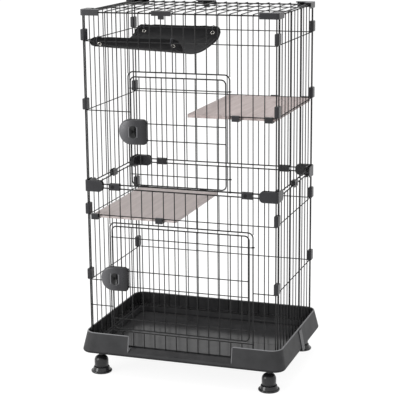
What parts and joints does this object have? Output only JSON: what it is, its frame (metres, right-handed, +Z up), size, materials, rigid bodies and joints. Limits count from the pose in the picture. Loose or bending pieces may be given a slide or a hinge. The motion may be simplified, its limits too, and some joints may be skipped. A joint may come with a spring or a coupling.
{
  "type": "cat cage",
  "caption": "Tall two-tier wire cat cage on casters, with a plastic tray, hinged wire doors with sliding locks, wooden shelves and a cloth hammock under the roof.",
  "frame": {"origin": "on the floor, under the middle of the cage's overall box", "axes": "+X to the right along the front, -Y out of the front with the doors, +Z up"},
  "size_m": [0.6644, 0.4778, 1.1343],
  "materials": {
    "coated_wire": "satin",
    "clip_plastic": "satin",
    "lock_plastic": "satin",
    "tray_plastic": "satin",
    "shelf_wood": "satin",
    "hammock_cloth": "matte",
    "bright_metal": "polished",
    "steel": "satin",
    "caster_plastic": "satin",
    "wheel_plastic": "satin"
  },
  "bodies": {
    "cage": {"upper_front_panel": "coated_wire", "upper_back_panel": "coated_wire", "upper_left_panel": "coated_wire", "upper_right_panel": "coated_wire", "lower_front_panel": "coated_wire", "lower_back_panel": "coated_wire", "lower_left_panel": "coated_wire", "lower_right_panel": "coated_wire", "roof_panel": "coated_wire", "upper_door_frame": "coated_wire", "lower_door_frame": "coated_wire", "roof_joint_front_left": "clip_plastic", "roof_joint_front_right": "clip_plastic", "roof_joint_back_left": "clip_plastic", "roof_joint_back_right": "clip_plastic", "tier_joint_front_left": "clip_plastic", "tier_joint_front_right": "clip_plastic", "tier_joint_back_left": "clip_plastic", "tier_joint_back_right": "clip_plastic", "edge_clips_front_left": "clip_plastic", "edge_clips_front_right": "clip_plastic", "edge_clips_back_left": "clip_plastic", "edge_clips_back_right": "clip_plastic", "tier_clips": "clip_plastic", "roof_clips": "clip_plastic", "upper_shelf_holders": "clip_plastic", "lower_shelf_holders": "clip_plastic", "upper_shelf": "shelf_wood", "lower_shelf": "shelf_wood", "tray_front": "tray_plastic", "tray_rear": "tray_plastic", "tray_straps": "tray_plastic", "hammock": "hammock_cloth", "hammock_eyelets": "bright_metal", "hammock_rings": "bright_metal", "caster_cups": "caster_plastic", "caster_stems": "steel"},
    "upper_leaf": {"upper_door_leaf": "coated_wire"},
    "upper_lock": {"upper_lock_cover": "lock_plastic", "upper_lock_plate": "lock_plastic", "upper_lock_screws": "steel", "upper_lock_spacers": "lock_plastic"},
    "lower_leaf": {"lower_door_leaf": "coated_wire"},
    "lower_lock": {"lower_lock_cover": "lock_plastic", "lower_lock_plate": "lock_plastic", "lower_lock_screws": "steel", "lower_lock_spacers": "lock_plastic"},
    "swivel_front_left": {"caster_hood_front_left": "caster_plastic", "caster_axle_front_left": "steel"},
    "wheels_front_left": {"caster_wheels_front_left": "wheel_plastic"},
    "swivel_front_right": {"caster_hood_front_right": "caster_plastic", "caster_axle_front_right": "steel"},
    "wheels_front_right": {"caster_wheels_front_right": "wheel_plastic"},
    "swivel_back_left": {"caster_hood_back_left": "caster_plastic", "caster_axle_back_left": "steel"},
    "wheels_back_left": {"caster_wheels_back_left": "wheel_plastic"},
    "swivel_back_right": {"caster_hood_back_right": "caster_plastic", "caster_axle_back_right": "steel"},
    "wheels_back_right": {"caster_wheels_back_right": "wheel_plastic"}
  },
  "joints": [
    {"name": "upper_door_hinge", "type": "hinge", "parent": "cage", "child": "upper_leaf", "pos_m": [0.1575, -0.2085, 0.776], "axis": [0, 0, 1], "range_deg": [0, 140]},
    {"name": "upper_lock_slide", "type": "slide", "parent": "upper_leaf", "child": "upper_lock", "axis": [1, 0, 0], "range_m": [-0.012, 0]},
    {"name": "lower_door_hinge", "type": "hinge", "parent": "cage", "child": "lower_leaf", "pos_m": [0.2275, -0.2085, 0.316], "axis": [0, 0, 1], "range_deg": [0, 140]},
    {"name": "lower_lock_slide", "type": "slide", "parent": "lower_leaf", "child": "lower_lock", "axis": [1, 0, 0], "range_m": [-0.012, 0]},
    {"name": "swivel_front_left", "type": "hinge", "parent": "cage", "child": "swivel_front_left", "pos_m": [-0.2735, -0.195, 0.05], "axis": [0, 0, 1], "continuous": true},
    {"name": "wheel_front_left", "type": "hinge", "parent": "swivel_front_left", "child": "wheels_front_left", "pos_m": [-0.2735, -0.195, 0.0204], "axis": [0.8829, 0.4695, 0], "continuous": true},
    {"name": "swivel_front_right", "type": "hinge", "parent": "cage", "child": "swivel_front_right", "pos_m": [0.2735, -0.195, 0.05], "axis": [0, 0, 1], "continuous": true},
    {"name": "wheel_front_right", "type": "hinge", "parent": "swivel_front_right", "child": "wheels_front_right", "pos_m": [0.2735, -0.195, 0.0204], "axis": [0.9135, -0.4067, 0], "continuous": true},
    {"name": "swivel_back_left", "type": "hinge", "parent": "cage", "child": "swivel_back_left", "pos_m": [-0.2735, 0.195, 0.05], "axis": [0, 0, 1], "continuous": true},
    {"name": "wheel_back_left", "type": "hinge", "parent": "swivel_back_left", "child": "wheels_back_left", "pos_m": [-0.2735, 0.195, 0.0204], "axis": [0.4695, 0.8829, 0], "continuous": true},
    {"name": "swivel_back_right", "type": "hinge", "parent": "cage", "child": "swivel_back_right", "pos_m": [0.2735, 0.195, 0.05], "axis": [0, 0, 1], "continuous": true},
    {"name": "wheel_back_right", "type": "hinge", "parent": "swivel_back_right", "child": "wheels_back_right", "pos_m": [0.2735, 0.195, 0.0204], "axis": [0.9781, 0.2079, 0], "continuous": true}
  ]
}
